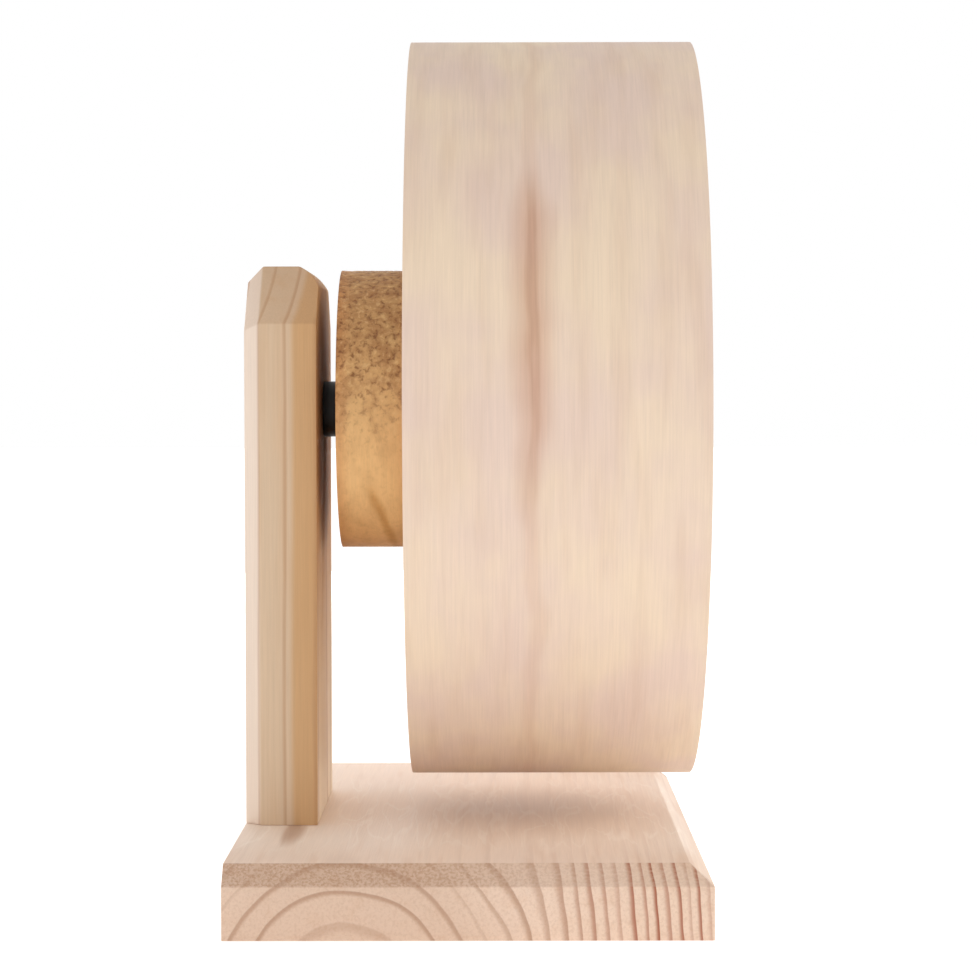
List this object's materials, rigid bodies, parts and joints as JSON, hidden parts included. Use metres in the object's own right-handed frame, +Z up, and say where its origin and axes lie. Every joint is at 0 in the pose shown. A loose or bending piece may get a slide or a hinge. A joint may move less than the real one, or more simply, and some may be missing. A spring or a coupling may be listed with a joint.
{
  "type": "rodent exercise wheel",
  "caption": "Wooden exercise wheel for a small rodent: an open plywood drum on a ball bearing, held by one post on a chamfered base board.",
  "frame": {"origin": "middle of the whole object's plan at the underside of the base board, on the surface that it stands on", "axes": "+Z up; X along the base board's length and grain; the axle runs along Y, with the drum's open side facing -Y and the post at +Y"},
  "size_m": [0.21, 0.126, 0.24],
  "materials": {
    "base_pine": "sanded bare pine, end grain at both ends",
    "post_pine": "sanded bare pine, grain upright",
    "hub_pine": "turned bare pine, coarse end grain on the rim of the disc",
    "rim_plywood": "bare veneer, fine grain across the drum's width",
    "panel_plywood": "bare plywood",
    "plated_steel": "zinc plated",
    "bearing_steel": "ground bearing steel",
    "cage_nylon": "moulded nylon",
    "seal_rubber": "black rubber",
    "black_plastic": "turned black plastic, slight sheen"
  },
  "bodies": {
    "stand": {"base_plate": "base_pine", "post": "post_pine", "base_screws": "plated_steel", "t_nut": "plated_steel", "axle_bolt": "plated_steel", "head_washer": "plated_steel", "hub_sleeve": "plated_steel", "axle_spacer": "black_plastic", "bearing_inner_race": "bearing_steel"},
    "wheel": {"running_rim": "rim_plywood", "back_panel": "panel_plywood", "hub_block": "hub_pine", "hub_screws": "plated_steel", "bearing_outer_race": "bearing_steel", "rear_seal": "seal_rubber", "front_seal": "seal_rubber"},
    "ball_train": {"bearing_balls": "bearing_steel", "bearing_cage": "cage_nylon"}
  },
  "joints": [
    {"name": "wheel_spin", "type": "hinge", "parent": "stand", "child": "wheel", "pos_m": [0, 0.0335, 0.135], "axis": [0, 1, 0], "continuous": true},
    {"name": "ball_train_spin", "type": "hinge", "parent": "stand", "child": "ball_train", "pos_m": [0, 0.0335, 0.135], "axis": [0, 1, 0], "continuous": true}
  ],
  "couplings": [
    {"joint": "ball_train_spin", "follows": "wheel_spin", "ratio": 0.6323}
  ]
}
